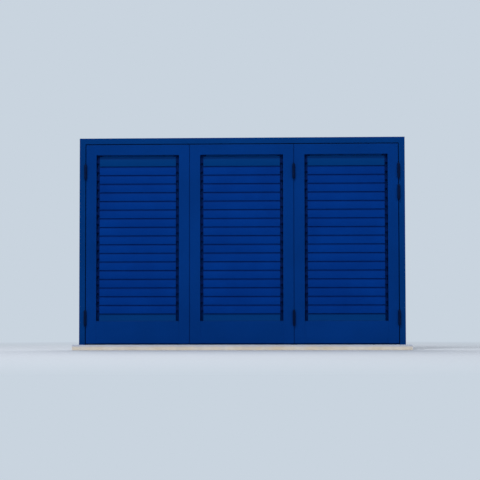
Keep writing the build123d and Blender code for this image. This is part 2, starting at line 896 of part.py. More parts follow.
def make_window_hinge_frame_halves():
    plate_height = 2 * window_knuckle
    with BuildPart() as halves:
        for height in window_hinge_heights:
            with BuildSketch(front_plane(window_back)):
                with Locations((window_axis_x - window_plate_width / 2, height - window_knuckle / 2)):
                    Rectangle(window_plate_width, window_knuckle)
            extrude(amount=-window_plate_thickness)
            with BuildSketch(Plane.XY.offset(height - window_knuckle)):
                with Locations((window_axis_x, window_axis_y)):
                    Circle(window_barrel_radius)
                neck_depth = window_axis_y - window_back
                with Locations((window_axis_x, window_back + neck_depth / 2)):
                    Rectangle(window_barrel_radius, neck_depth)
            extrude(amount=window_knuckle)
            with BuildSketch(Plane.XY.offset(height - window_knuckle)):
                with Locations((window_axis_x, window_axis_y)):
                    Circle(window_pin_radius)
            extrude(amount=plate_height - window_barrel_radius)
        mirror(about=Plane.YZ)
    save(halves, "window_hinge_frame_halves")


def make_window_hinge_sash_halves():
    plate_x = sash_left - sash_cover_reach
    neck_width = plate_x - window_axis_x
    with BuildPart() as halves:
        for height in window_hinge_heights:
            bottom = height + knuckle_gap
            reach = window_knuckle - knuckle_gap
            with BuildSketch(Plane.XY.offset(bottom)):
                with Locations((window_axis_x, window_axis_y)):
                    Circle(window_barrel_radius)
                with Locations((plate_x + window_plate_width / 2, cover_back + window_plate_thickness / 2)):
                    Rectangle(window_plate_width, window_plate_thickness)
                with Locations((window_axis_x + neck_width / 2, cover_back + window_plate_thickness / 2)):
                    Rectangle(neck_width, window_plate_thickness)
            extrude(amount=reach)
            with BuildSketch(Plane.XY.offset(bottom)):
                with Locations((window_axis_x, window_axis_y)):
                    Circle(window_pin_radius + pin_clearance)
            extrude(amount=window_knuckle - window_barrel_radius, mode=Mode.SUBTRACT)
    mirrored_pair(halves, "sash_hinge_halves")


# Window handles: a rosette on the closing stile and a lever that hangs down when shut
handle_x = sash_right + sash_cover_reach - (sash_face - bead_width + sash_cover_reach) / 2
handle_z = sash_middle[1] + handle_rise


def make_rosettes():
    with BuildPart() as rosette:
        with BuildSketch(front_plane(cover_back)):
            with Locations((handle_x, handle_z)):
                RectangleRounded(rosette_width, rosette_height, rosette_width / 3)
                Circle(handle_neck_radius + handle_clearance, mode=Mode.SUBTRACT)
        extrude(amount=-rosette_thickness)
    mirrored_pair(rosette, "handle_rosette")


def make_handles():
    neck_front = cover_back
    grip_front = neck_front + handle_neck_length
    with BuildPart() as handle:
        with BuildSketch(front_plane(neck_front)):
            with Locations((handle_x, handle_z)):
                Circle(handle_neck_radius)
        extrude(amount=-handle_neck_length)
        with BuildSketch(front_plane(grip_front)):
            with Locations((handle_x, handle_z - handle_length / 2 + handle_width / 2)):
                RectangleRounded(handle_width, handle_length, handle_width / 2 - edge_radius)
        extrude(amount=-handle_thickness)
        fillet(handle.faces().sort_by(Axis.Y)[-1].edges(), radius=handle_thickness / 4)
    mirrored_pair(handle, "handle_lever")


def make_leaf(name, left, left_nose=(), right_nose=(), lapped=False):
    right = left + leaf_width
    make_stile(left, left + stile_face, f"{name}_leaf_left_stile", left_nose, lapped)
    make_stile(right, right - stile_face, f"{name}_leaf_right_stile", right_nose)
    make_top_rail(left, f"{name}_leaf_top_rail")
    make_bottom_rail(left, f"{name}_leaf_bottom_rail")
    make_slats(left, f"{name}_leaf_slats")
    make_racks(left, f"{name}_leaf_slat_racks")


make_sill()
make_jamb(-1, "shutter_frame_left_jamb")
make_jamb(1, "shutter_frame_right_jamb")
make_head()
make_frame_stops()
make_stop_bar()
make_frame_seals()

make_leaf("left", leaf_lefts[0], right_nose=plain_nose)
make_leaf("middle", leaf_lefts[1], left_nose=plain_nose, right_nose=fold_nose)
make_leaf("right", leaf_lefts[2], left_nose=fold_nose, lapped=True)

left_places = [(seam_centres[0], upper_hinge_z), (seam_centres[0], lower_hinge_z)]
fold_places = [(seam_centres[2], upper_hinge_z), (seam_centres[2], lower_hinge_z)]
right_places = [
    (seam_centres[3], upper_hinge_z),
    (seam_centres[3], extra_hinge_z),
    (seam_centres[3], lower_hinge_z),
]
make_hinge_halves(left_places, -1, frame_knuckles, "left_jamb_hinge_halves")
make_hinge_halves(right_places, 1, frame_knuckles, "right_jamb_hinge_halves")
make_hinge_halves(left_places, 1, leaf_knuckles, "left_leaf_hinge_halves")
make_hinge_halves(right_places, -1, leaf_knuckles, "right_leaf_hinge_halves")
make_hinge_halves(fold_places, 1, frame_knuckles, "right_leaf_fold_hinge_halves")
make_hinge_halves(fold_places, -1, leaf_knuckles, "middle_leaf_fold_hinge_halves")
make_hinge_pins(left_places + right_places, "jamb_hinge_pins")
make_hinge_pins(fold_places, "fold_hinge_pins")

make_rod()
make_hooks()
make_lever()
make_rod_guides()
make_keepers()
make_bolt(top_bolt_tip, 1, "left_leaf_top_bolt")
make_bolt(bottom_bolt_tip, -1, "left_leaf_bottom_bolt")
make_bolt_guides()

make_side_lining(-1, "lining_left")
make_side_lining(1, "lining_right")
make_head_lining()
make_window_frame()
make_mullion()
make_window_seals()
make_sash_frames()
make_glass()
make_beads()
make_window_hinge_frame_halves()
make_window_hinge_sash_halves()
make_rosettes()
make_handles()
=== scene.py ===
import bpy
import bmesh
import math
from mathutils import Matrix, Vector


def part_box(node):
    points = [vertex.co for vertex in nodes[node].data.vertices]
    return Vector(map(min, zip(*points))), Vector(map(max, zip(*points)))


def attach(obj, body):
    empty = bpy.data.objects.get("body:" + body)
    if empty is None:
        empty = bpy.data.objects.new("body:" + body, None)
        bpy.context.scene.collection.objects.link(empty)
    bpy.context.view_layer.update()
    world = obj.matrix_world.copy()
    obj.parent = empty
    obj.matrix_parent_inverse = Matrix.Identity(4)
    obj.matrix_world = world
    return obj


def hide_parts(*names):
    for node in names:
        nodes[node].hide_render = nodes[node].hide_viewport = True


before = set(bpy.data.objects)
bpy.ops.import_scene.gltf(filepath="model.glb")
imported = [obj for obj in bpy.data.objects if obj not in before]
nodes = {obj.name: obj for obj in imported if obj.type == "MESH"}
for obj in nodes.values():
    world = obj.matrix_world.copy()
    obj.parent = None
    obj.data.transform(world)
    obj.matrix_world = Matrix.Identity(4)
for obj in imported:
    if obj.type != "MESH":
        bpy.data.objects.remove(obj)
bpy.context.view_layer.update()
print("frame loaded:", len(nodes), "nodes")

facing = 0.9        # a face looks along an axis when its normal has more than this of it
samePlane = 1e-4    # points nearer than this to a plane lie in it
weld = 1e-6         # points nearer than this are one
inwards = Vector((0, 1, 0))
upwards = Vector((0, 0, 1))


def islandsOf(node):
    # the boxes of a node's separate solids, lowest and leftmost first
    mesh = bmesh.new()
    mesh.from_mesh(nodes[node].data)
    bmesh.ops.remove_doubles(mesh, verts=mesh.verts, dist=weld)
    boxes = []
    waiting = set(mesh.verts)
    while waiting:
        group = set()
        edge = [waiting.pop()]
        while edge:
            point = edge.pop()
            group.add(point)
            for link in point.link_edges:
                other = link.other_vert(point)
                if other in waiting:
                    waiting.remove(other)
                    edge.append(other)
        low = Vector([min(p.co[axis] for p in group) for axis in range(3)])
        high = Vector([max(p.co[axis] for p in group) for axis in range(3)])
        boxes.append((low, high))
    mesh.free()
    return sorted(boxes, key=lambda box: (round(box[0].z, 4), box[0].x))


# Colours are written as they show on a screen, 0 to 255, and turned linear here
def tint(red, green, blue):
    linear = []
    for part in (red / 255, green / 255, blue / 255):
        curved = ((part + 0.055) / 1.055) ** 2.4
        linear.append(part / 12.92 if part <= 0.04045 else curved)
    return (*linear, 1.0)


# A shader socket that can stand in a sum
class Feed:
    def __init__(self, sheet, socket):
        self.sheet = sheet
        self.socket = socket

    def maths(self, operation, first, second):
        return self.sheet.node("ShaderNodeMath", {"operation": operation}, {0: first, 1: second})

    def __add__(self, other):
        return self.maths("ADD", self, other)

    def __radd__(self, other):
        return self.maths("ADD", other, self)

    def __sub__(self, other):
        return self.maths("SUBTRACT", self, other)

    def __rsub__(self, other):
        return self.maths("SUBTRACT", other, self)

    def __mul__(self, other):
        return self.maths("MULTIPLY", self, other)

    def __rmul__(self, other):
        return self.maths("MULTIPLY", other, self)

    def beside(self, name):
        # another output of the same node
        return Feed(self.sheet, self.socket.node.outputs[name])


# The node sheet of one material, or of the world
class Sheet:
    def __init__(self, name, world=None):
        self.material = world or bpy.data.materials.new(name)
        self.material.use_nodes = True
        self.tree = self.material.node_tree
        self.tree.nodes.clear()

    def node(self, kind, settings=None, sockets=None, output=0):
        made = self.tree.nodes.new(kind)
        for name, value in (settings or {}).items():
            if name == "stops":
                self.setStops(made.color_ramp, value)
            else:
                setattr(made, name, value)
        for name, value in (sockets or {}).items():
            if isinstance(value, Feed):
                self.tree.links.new(value.socket, made.inputs[name])
            else:
                made.inputs[name].default_value = value
        return Feed(self, made.outputs[output]) if made.outputs else made

    def setStops(self, ramp, stops):
        while len(ramp.elements) < len(stops):
            ramp.elements.new(1.0)
        for element, (position, shade) in zip(ramp.elements, stops):
            element.position = position
            element.color = (shade, shade, shade, 1.0)

    def place(self):
        return self.node("ShaderNodeTexCoord", output="Object")

    def along(self, axis, vector):
        # one of a vector's three numbers
        return self.node("ShaderNodeSeparateXYZ", {}, {0: vector}, output=axis)

    def stretched(self, x, y, z):
        # object coordinates with each axis scaled by itself, for a drawn or brushed grain
        return self.node("ShaderNodeMapping", {}, {"Vector": self.place(), "Scale": (x, y, z)})

    def noise(self, where, scale, detail=2.0, rough=0.5):
        sockets = {"Vector": where, "Scale": scale, "Detail": detail, "Roughness": rough}
        return self.node("ShaderNodeTexNoise", {}, sockets)

    def ramp(self, value, *stops):
        return self.node("ShaderNodeValToRGB", {"stops": stops}, {"Fac": value})

    def mix(self, share, first, second, how="MIX"):
        settings = {"data_type": "RGBA", "blend_type": how}
        return self.node("ShaderNodeMix", settings, {0: share, 6: first, 7: second}, output=2)

    def upward(self):
        # 1 where the surface faces the sky, 0 on walls and undersides
        normal = self.node("ShaderNodeNewGeometry", output="Normal")
        return self.ramp(self.along("Z", normal), (0.5, 0.0), (0.95, 1.0))

    def seen(self):
        # 1 for what the camera, a reflection or a clear pane looks at, 0 for light on the object
        camera = self.node("ShaderNodeLightPath", output="Is Camera Ray")
        return camera + camera.beside("Is Glossy Ray") + camera.beside("Is Transmission Ray")

    def blend(self, share, first, second):
        return self.node("ShaderNodeMixShader", {}, {0: share, 1: first, 2: second})

    def bump(self, height, depth, under=None):
        sockets = {"Height": height, "Distance": depth}
        if under is not None:
            sockets["Normal"] = under
        return self.node("ShaderNodeBump", {}, sockets)

    def finish(self, **sockets):
        named = {name.replace("_", " "): value for name, value in sockets.items()}
        shader = self.node("ShaderNodeBsdfPrincipled", {}, named)
        self.node("ShaderNodeOutputMaterial", {}, {"Surface": shader})
        return self.material


# Powder coat on aluminium: a fine pebbled skin, slow drifts of tone, a little dust where it can lie
# and painted shade in the recesses and under the slat laps, added by the function passed in
def powderCoat(name, look, paintedShade=None):
    sheet = Sheet(name)
    place = sheet.place()
    drift = sheet.noise(place, look["driftScale"], 3.0)
    grain = sheet.noise(place, look["grainScale"], 2.0)
    tone = sheet.ramp(drift, (look["driftFrom"], 0.0), (look["driftTo"], 1.0))
    base = sheet.mix(tone, look["deep"], look["light"])
    base = sheet.mix(grain * look["grainShare"], base, look["deep"])
    if paintedShade:
        base = paintedShade(sheet, place, base)
    base = sheet.mix(sheet.upward() * (0.5 + drift * 0.5) * look["dustShare"], base, look["dust"])
    rough = look["rough"] + grain * look["grainRough"] - drift * look["driftRough"]
    skin = sheet.bump(sheet.noise(place, look["pebbleScale"], 2.0), look["pebbleDepth"])
    return sheet.finish(Base_Color=base, Roughness=rough, Specular_IOR_Level=look["gloss"], Normal=skin)


frameLook = {
    "light": tint(1, 54, 119),
    "deep": tint(0, 48, 109),
    "dust": tint(96, 124, 160),
    "dustShare": 0.25,
    "driftScale": 2.6,
    "driftFrom": 0.3,
    "driftTo": 0.7,
    "driftRough": 0.06,
    "grainScale": 240.0,
    "grainShare": 0.25,
    "grainRough": 0.12,
    "rough": 0.5,
    "gloss": 0.02,
    "pebbleScale": 900.0,
    "pebbleDepth": 0.00006,
}
leafLook = {**frameLook, "light": tint(1, 53, 126), "deep": tint(0, 48, 115)}
slatLook = {
    **frameLook,
    "light": tint(0, 53, 133),
    "deep": tint(0, 46, 121),
    "driftScale": 4.0,
    "gloss": 0.015,
}
# a paler copy of the slat blue: painted light, so that the lip, in shade behind the top slat, shows
# lighter
litLipLook = {**slatLook, "light": tint(2, 80, 168), "deep": tint(1, 72, 154)}
# painted shade for the leaves' seams, grooves and slat-end gaps
grooves = {
    "shade": tint(0, 16, 62),
    "share": 0.55,
    "from": 0.0016,
    "to": 0.0021,
    "spread": 100,      # a ramp's stops lie between 0 and 1, so small depths are spread out
}
# painted shade for the slats: under each lap, on the top slat below the top rail and in the crease at the
# closing strip's foot
laps = {
    "shade": tint(0, 16, 70),
    "share": 0.75,
    "reach": 0.24,
    "topShadeAndStripTone": tint(0, 53, 110),
    "topShadeAndStripShare": 0.8,
    "creaseShade": 0.002,      # painted shade along the crease where the closing strip stands on the rail
    "creaseShadeShare": 0.5,
}


def shadeGrooves(sheet, place, base):
    # painted shade behind the leaf's front face, down in the seams and beside the slats
    spread = grooves["spread"]
    depth = sheet.along("Y", place)
    inside = sheet.ramp(depth * spread, (grooves["from"] * spread, 0.0), (grooves["to"] * spread, 1.0))
    return sheet.mix(inside * grooves["share"], base, grooves["shade"])


def shadeLaps(sheet, place, base):
    # painted shade in a band under each slat's lower edge; the top slat is painted duller for the top
    # rail's shade, and the closing strip takes the same duller tone
    stripFoot, *lows = [low.z for low, high in islandsOf("left_leaf_slats")]
    pitch = lows[1] - lows[0]
    height = sheet.along("Z", place)
    below = sheet.node("ShaderNodeMath", {"operation": "FRACT"}, {0: (lows[-1] - height) * (1 / pitch)})
    lapShade = sheet.ramp(below, (0.0, 1.0), (laps["reach"], 0.0))
    topShadeAndStrip = height.maths("GREATER_THAN", height, lows[-1]) + height.maths("LESS_THAN", height, lows[0])
    # painted shade of the top rail on the top slat; the closing strip takes the same duller tone
    base = sheet.mix(topShadeAndStrip * laps["topShadeAndStripShare"], base, laps["topShadeAndStripTone"])
    creaseShade = height.maths("LESS_THAN", height, stripFoot + laps["creaseShade"])
    return sheet.mix(lapShade * laps["share"] + creaseShade * laps["creaseShadeShare"], base, laps["shade"])


frameBlue = powderCoat("frameBlue", frameLook)
leafBlue = powderCoat("leafBlue", leafLook, shadeGrooves)
slatBlue = powderCoat("slatBlue", slatLook, shadeLaps)
litLipBlue = powderCoat("litLipBlue", litLipLook)


# Black coated steel: satin, rubbed a little paler in places and paler on faces that look up
def blackSteel():
    look = {
        "coat": tint(0, 17, 52),
        "rubbed": tint(6, 28, 70),
        "rubScale": 55.0,
        "rubShare": 0.5,
        "upperShare": 0.3,
        "rough": 0.45,
        "roughScale": 130.0,
        "roughSpread": 0.2,
        "gloss": 0.05,
        "skinScale": 1100.0,
        "skinDepth": 0.00004,
    }
    sheet = Sheet("blackSteel")
    place = sheet.place()
    rub = sheet.ramp(sheet.noise(place, look["rubScale"], 4.0, 0.6), (0.52, 0.0), (0.75, 1.0))
    rubbedAndUpward = rub * look["rubShare"] + sheet.upward() * look["upperShare"]
    base = sheet.mix(rubbedAndUpward, look["coat"], look["rubbed"])
    rough = look["rough"] + sheet.noise(place, look["roughScale"], 3.0) * look["roughSpread"]
    skin = sheet.bump(sheet.noise(place, look["skinScale"], 2.0), look["skinDepth"])
    return sheet.finish(Base_Color=base, Roughness=rough, Specular_IOR_Level=look["gloss"], Normal=skin)


# Moulded black plastic of the slat racks, painted navy and lighter than black to stand in for blue light
# bounced into the shaded gaps; painted shade darkens the arms in front, and it is paler in clouds and on
# faces that look up
def blackPlastic():
    look = {
        "dark": tint(0, 31, 90),
        "pale": tint(3, 42, 114),
        "armsShade": tint(0, 24, 76),
        "armsShadeTo": 0.17,         # depths of the arms in front, which get painted shade, in tenths of a metre
        "armsShadeGone": 0.23,
        "cloudScale": 30.0,
        "cloudShare": 0.6,
        "upperShare": 0.25,
        "flow": (220.0, 220.0, 9.0),
        "rough": 0.6,
        "roughSpread": 0.15,
        "gloss": 0.03,
        "skinScale": 1400.0,
        "skinDepth": 0.00005,
    }
    sheet = Sheet("blackPlastic")
    place = sheet.place()
    cloud = sheet.noise(place, look["cloudScale"], 4.0)
    flow = sheet.noise(sheet.stretched(*look["flow"]), 1.0, 2.0)
    paler = cloud * look["cloudShare"] + sheet.upward() * look["upperShare"]
    # painted bounce light: these base tones are lighter and bluer than black plastic
    base = sheet.mix(paler, look["dark"], look["pale"])
    depth = sheet.along("Y", place)
    # painted shade on the arms in front of the bar
    armsShadeMask = sheet.ramp(depth * 10, (look["armsShadeTo"], 1.0), (look["armsShadeGone"], 0.0))
    base = sheet.mix(armsShadeMask, base, look["armsShade"])
    skin = sheet.bump(flow + sheet.noise(place, look["skinScale"], 1.0), look["skinDepth"])
    rough = look["rough"] + cloud * look["roughSpread"]
    return sheet.finish(Base_Color=base, Roughness=rough, Specular_IOR_Level=look["gloss"], Normal=skin)


# Black rubber of seals and glazing strips, dull with a chalky bloom
def blackRubber():
    look = {
        "dark": tint(8, 8, 10),
        "bloom": tint(30, 30, 33),
        "bloomScale": 24.0,
        "bloomShare": 0.6,
        "rough": 0.75,
        "roughSpread": 0.15,
        "gloss": 0.15,
        "skinScale": 700.0,
        "skinDepth": 0.0001,
    }
    sheet = Sheet("blackRubber")
    place = sheet.place()
    bloom = sheet.ramp(sheet.noise(place, look["bloomScale"], 5.0, 0.65), (0.45, 0.0), (0.8, 1.0))
    base = sheet.mix(bloom * look["bloomShare"], look["dark"], look["bloom"])
    skin = sheet.bump(sheet.noise(place, look["skinScale"], 2.0), look["skinDepth"])
    rough = look["rough"] + bloom * look["roughSpread"]
    return sheet.finish(Base_Color=base, Roughness=rough, Specular_IOR_Level=look["gloss"], Normal=skin)


# Honed pale limestone: soft clouds, fine grains, small pores, and a painted bluish sky reflection and
# shade on the upper part of the nosing
def limestone():
    look = {
        "pale": tint(229, 221, 209),
        "warm": tint(221, 205, 180),
        "grey": tint(206, 201, 194),
        "pore": tint(165, 156, 143),
        "skyReflection": tint(152, 172, 206),
        "cloudScale": 6.5,
        "patchScale": 17.0,
        "patchShare": 0.55,
        "grainScale": 320.0,
        "grainShare": 0.22,
        "poreScale": 95.0,
        "poreShare": 0.55,
        "skyReflectionFrom": 0.17,     # the upper part of the nosing with the painted sky reflection and shade, in tenths of a metre
        "skyReflectionFull": 0.33,
        "skyReflectionShare": 0.7,
        "rough": 0.66,
        "patchRough": 0.12,
        "poreRough": 0.1,
        "gloss": 0.35,
        "poreDepth": 0.0006,
        "cloudDepth": 0.0008,
    }
    sheet = Sheet("limestone")
    place = sheet.place()
    clouds = sheet.ramp(sheet.noise(place, look["cloudScale"], 6.0, 0.6), (0.35, 0.0), (0.65, 1.0))
    patches = sheet.ramp(sheet.noise(place, look["patchScale"], 5.0, 0.6), (0.45, 0.0), (0.72, 1.0))
    grains = sheet.noise(place, look["grainScale"], 3.0, 0.7)
    cellSockets = {"Vector": place, "Scale": look["poreScale"]}
    cells = sheet.node("ShaderNodeTexVoronoi", {}, cellSockets, output="Distance")
    pores = sheet.ramp(cells + grains * 0.35, (0.16, 1.0), (0.3, 0.0))
    base = sheet.mix(clouds, look["pale"], look["warm"])
    base = sheet.mix(patches * look["patchShare"], base, look["grey"])
    base = sheet.mix(grains * look["grainShare"], base, look["grey"])
    base = sheet.mix(pores * look["poreShare"], base, look["pore"])
    # painted reflection of the sky, a little darker, on the nosing's upper part
    height = sheet.along("Z", place)
    skyReflectionMask = sheet.ramp(height * 10, (look["skyReflectionFrom"], 0.0), (look["skyReflectionFull"], 1.0))
    base = sheet.mix(skyReflectionMask * look["skyReflectionShare"], base, look["skyReflection"])
    rough = look["rough"] + patches * look["patchRough"] + pores * look["poreRough"]
    skin = sheet.bump(grains * 0.5 - pores, look["poreDepth"])
    skin = sheet.bump(clouds, look["cloudDepth"], skin)
    return sheet.finish(Base_Color=base, Roughness=rough, Specular_IOR_Level=look["gloss"], Normal=skin)


# Matt white paint on the lining boards, with the stipple of a roller
def wallPaint():
    look = {
        "white": tint(226, 225, 221),
        "shaded": tint(211, 210, 205),
        "grime": tint(176, 172, 163),
        "cloudScale": 3.5,
        "cloudShare": 0.7,
        "grimeShare": 0.35,
        "stippleScale": 260.0,
        "stippleShare": 0.15,
        "stippleDepth": 0.0003,
        "rough": 0.62,
        "roughSpread": 0.15,
    }
    sheet = Sheet("liningPaint")
    place = sheet.place()
    stipple = sheet.noise(place, look["stippleScale"], 3.0, 0.6)
    cloud = sheet.noise(place, look["cloudScale"], 4.0)
    base = sheet.mix(cloud * look["cloudShare"], look["white"], look["shaded"])
    base = sheet.mix(stipple * look["stippleShare"], base, look["shaded"])
    base = sheet.mix(sheet.upward() * cloud * look["grimeShare"], base, look["grime"])
    skin = sheet.bump(stipple, look["stippleDepth"])
    rough = look["rough"] + stipple * look["roughSpread"]
    return sheet.finish(Base_Color=base, Roughness=rough, Normal=skin)


# White window profile: a smooth drawn surface with a soft gloss
def windowWhite():
    look = {
        "white": tint(233, 233, 230),
        "shaded": tint(221, 221, 217),
        "grime": tint(190, 187, 180),
        "cloudScale": 4.5,
        "cloudShare": 0.8,
        "grimeShare": 0.3,
        "drawnScale": 160.0,
        "drawnDepth": 0.00008,
        "rough": 0.26,
        "roughSpread": 0.1,
        "gloss": 0.5,
    }
    sheet = Sheet("windowWhite")
    place = sheet.place()
    cloud = sheet.noise(place, look["cloudScale"], 3.0)
    drawn = sheet.noise(sheet.stretched(*[look["drawnScale"]] * 3), 1.0, 1.0)
    base = sheet.mix(cloud * look["cloudShare"], look["white"], look["shaded"])
    base = sheet.mix(sheet.upward() * cloud * look["grimeShare"], base, look["grime"])
    rough = look["rough"] + cloud * look["roughSpread"]
    skin = sheet.bump(drawn, look["drawnDepth"])
    return sheet.finish(Base_Color=base, Roughness=rough, Specular_IOR_Level=look["gloss"], Normal=skin)


# Satin anodised aluminium, brushed along its length
def satinAluminium():
    look = {
        "light": tint(188, 190, 193),
        "dark": tint(158, 161, 165),
        "brush": (2600.0, 2600.0, 60.0),
        "brushShare": 0.5,
        "brushDepth": 0.00003,
        "cloudScale": 40.0,
        "cloudShare": 0.3,
        "metal": 0.9,
        "rough": 0.3,
        "roughSpread": 0.15,
    }
    sheet = Sheet("satinAluminium")
    brushed = sheet.noise(sheet.stretched(*look["brush"]), 1.0, 2.0, 0.7)
    cloud = sheet.noise(sheet.place(), look["cloudScale"], 3.0)
    darker = brushed * look["brushShare"] + cloud * look["cloudShare"]
    base = sheet.mix(darker, look["light"], look["dark"])
    skin = sheet.bump(brushed, look["brushDepth"])
    rough = look["rough"] + brushed * look["roughSpread"]
    return sheet.finish(Base_Color=base, Metallic=look["metal"], Roughness=rough, Normal=skin)


# Clear float glass, with the faint haze of dried rain on it
def paneGlass():
    look = {
        "clear": tint(176, 196, 192),
        "haze": tint(214, 220, 220),
        "hazeScale": 5.0,
        "alpha": 0.11,
        "hazeAlpha": 0.035,
        "rough": 0.04,
        "hazeRough": 0.05,
        "gloss": 1.0,
    }
    sheet = Sheet("paneGlass")
    place = sheet.place()
    haze = sheet.ramp(sheet.noise(place, look["hazeScale"], 4.0, 0.6), (0.4, 0.0), (0.9, 1.0))
    base = sheet.mix(haze, look["clear"], look["haze"])
    alpha = look["alpha"] + haze * look["hazeAlpha"]
    rough = look["rough"] + haze * look["hazeRough"]
    return sheet.finish(Base_Color=base, Roughness=rough, Alpha=alpha, Specular_IOR_Level=look["gloss"])


materials = {
    "frame": frameBlue,
    "leaf": leafBlue,
    "slat": slatBlue,
    "lip": litLipBlue,
    "steel": blackSteel(),
    "plastic": blackPlastic(),
    "rubber": blackRubber(),
    "stone": limestone(),
    "paint": wallPaint(),
    "white": windowWhite(),
    "aluminium": satinAluminium(),
    "glass": paneGlass(),
}
print("materials made:", len(materials))


# Each CAD node takes the finish of its kind, chosen by words in its name
finishByWord = [
    ("sill", "stone"),
    ("slat_racks", "plastic"),
    ("slats", "slat"),
    ("seals", "rubber"),
    ("lining", "paint"),
    ("window_hinge", "aluminium"),
    ("sash_hinge", "aluminium"),
    ("handle", "aluminium"),
    ("window", "white"),
    ("sash", "white"),
    ("hinge", "steel"),
    ("lock", "steel"),
    ("bolt", "steel"),
    ("shutter", "frame"),
    ("leaf", "leaf"),
]


def coatNodes():
    for name, node in nodes.items():
        finish = next(finish for word, finish in finishByWord if word in name)
        for slot in node.material_slots:
            slot.material = materials[finish]
        if not node.material_slots:
            node.data.materials.append(materials[finish])


coatNodes()
print("CAD nodes coated")


# Modelling by hand: every start is a primitive added at its size and place, alone in the selection
def deselectAll():
    bpy.ops.object.select_all(action="DESELECT")


def settle(piece, name):
    # size, turn and place go into the mesh, so that the object sits at the origin
    piece.name = name
    piece.data.name = name
    bpy.ops.object.transform_apply(location=True, rotation=True, scale=True)
    return piece


def startBlock(name, low, high):
    deselectAll()
    bpy.ops.mesh.primitive_cube_add(size=1, location=(low + high) / 2)
    piece = bpy.context.object
    piece.scale = high - low
    return settle(piece, name)


def startRod(name, creaseShade, direction, radius, length, sides):
    # a cylinder that stands on its foot and points along direction
    deselectAll()
    turn = upwards.rotation_difference(direction).to_euler()
    middle = creaseShade + direction * length / 2
    bpy.ops.mesh.primitive_cylinder_add(
        vertices=sides, radius=radius, depth=length, location=middle, rotation=turn
    )
    return settle(bpy.context.object, name)


def pickFaces(piece, wanted):
    # edit mode only: selects just the faces that wanted says yes to
    bpy.ops.mesh.select_mode(type="FACE")
    bpy.ops.mesh.select_all(action="DESELECT")
    mesh = bmesh.from_edit_mesh(piece.data)
    for face in mesh.faces:
        if wanted(face):
            face.select_set(True)
    bmesh.update_edit_mesh(piece.data)


def pickPoints(piece, wanted):
    bpy.ops.mesh.select_mode(type="VERT")
    bpy.ops.mesh.select_all(action="DESELECT")
    mesh = bmesh.from_edit_mesh(piece.data)
    for point in mesh.verts:
        point.select_set(bool(wanted(point)))
    mesh.select_flush(True)
    bmesh.update_edit_mesh(piece.data)


def pushOut(shift):
    bpy.ops.mesh.extrude_region_move(TRANSFORM_OT_translate={"value": shift})


def softenEdges(piece, width, steps=2):
    modifier = piece.modifiers.new("soften", "BEVEL")
    modifier.width = width
    modifier.segments = steps
    modifier.limit_method = "ANGLE"
    bpy.context.view_layer.objects.active = piece
    bpy.ops.object.modifier_apply(modifier=modifier.name)


def smooth(piece, angle=35):
    deselectAll()
    piece.select_set(True)
    bpy.context.view_layer.objects.active = piece
    bpy.ops.object.shade_smooth_by_angle(angle=math.radians(angle))


def joined(parts, name):
    deselectAll()
    for part in parts:
        part.select_set(True)
    bpy.context.view_layer.objects.active = parts[0]
    bpy.ops.object.join()
    piece = bpy.context.object
    piece.name = name
    piece.data.name = name
    return piece


def fit(piece, body, finish):
    # the piece's finish and the body that it moves with
    piece.data.materials.clear()
    piece.data.materials.append(materials[finish])
    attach(piece, body)


# A flat ring in the window's plane, cut and pushed out from one plane, such as a spacer or a strip
def frameRing(name, low, high, width, front, back):
    deselectAll()
    middle = Vector(((low.x + high.x) / 2, front, (low.z + high.z) / 2))
    bpy.ops.mesh.primitive_plane_add(size=1, location=middle, rotation=(math.pi / 2, 0, 0))
    ring = bpy.context.object
    ring.scale = (high.x - low.x, high.z - low.z, 1)
    settle(ring, name)
    bpy.ops.object.mode_set(mode="EDIT")
    bpy.ops.mesh.select_all(action="SELECT")
    bpy.ops.mesh.inset(thickness=width)
    bpy.ops.mesh.delete(type="FACE")
    bpy.ops.mesh.select_all(action="SELECT")
    pushOut((0, back - front, 0))
    bpy.ops.mesh.select_all(action="SELECT")
    bpy.ops.mesh.normals_make_consistent(inside=False)
    bpy.ops.object.mode_set(mode="OBJECT")
    return ring


# Sealed glazing unit: two panes, a spacer between them and the dark sealant round the edge
glazing = {
    "pane": 0.004,
    "paneEdge": 0.0005,
    "sealant": 0.005,
    "spacer": 0.0075,
    "spacerGap": 0.0002,
    "stripWidth": 0.0035,
    "stripDepth": 0.0025,
    "stripSoft": 0.0009,
}


def paneOf(name, low, high, front):
    bottom = Vector((low.x, front, low.z))
    top = Vector((high.x, front + glazing["pane"], high.z))
    pane = startBlock(name, bottom, top)
    softenEdges(pane, glazing["paneEdge"], 1)
    return pane


def glazeSash(side):
    low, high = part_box(f"{side}_sash_glass")
    body = f"{side}_sash"
    outside = paneOf(f"{side}_pane_outside", low, high, low.y)
    inside = paneOf(f"{side}_pane_inside", low, high, high.y - glazing["pane"])
    front = low.y + glazing["pane"]
    back = high.y - glazing["pane"]
    sealant = frameRing(f"{side}_pane_sealant", low, high, glazing["sealant"], front, back)
    step = glazing["sealant"] + glazing["spacerGap"]
    inset = Vector((step, 0, step))
    spacer = frameRing(f"{side}_pane_spacer", low + inset, high - inset, glazing["spacer"], front, back)
    fit(outside, body, "glass")
    fit(inside, body, "glass")
    fit(sealant, body, "rubber")
    fit(spacer, body, "aluminium")
    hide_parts(f"{side}_sash_glass")


# Glazing strips: a soft black lip between the glass and the white profile, on both faces
def stripSash(side):
    glassLow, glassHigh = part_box(f"{side}_sash_glass")
    low, high = sashLight(side)
    strips = []
    for front, back in (
        (glassLow.y - glazing["stripDepth"], glassLow.y),
        (glassHigh.y, glassHigh.y + glazing["stripDepth"]),
    ):
        ring = frameRing(f"{side}_strip", low, high, glazing["stripWidth"], front, back)
        softenEdges(ring, glazing["stripSoft"])
        strips.append(ring)
    strip = joined(strips, f"{side}_glazing_strips")
    smooth(strip)
    fit(strip, f"{side}_sash", "rubber")


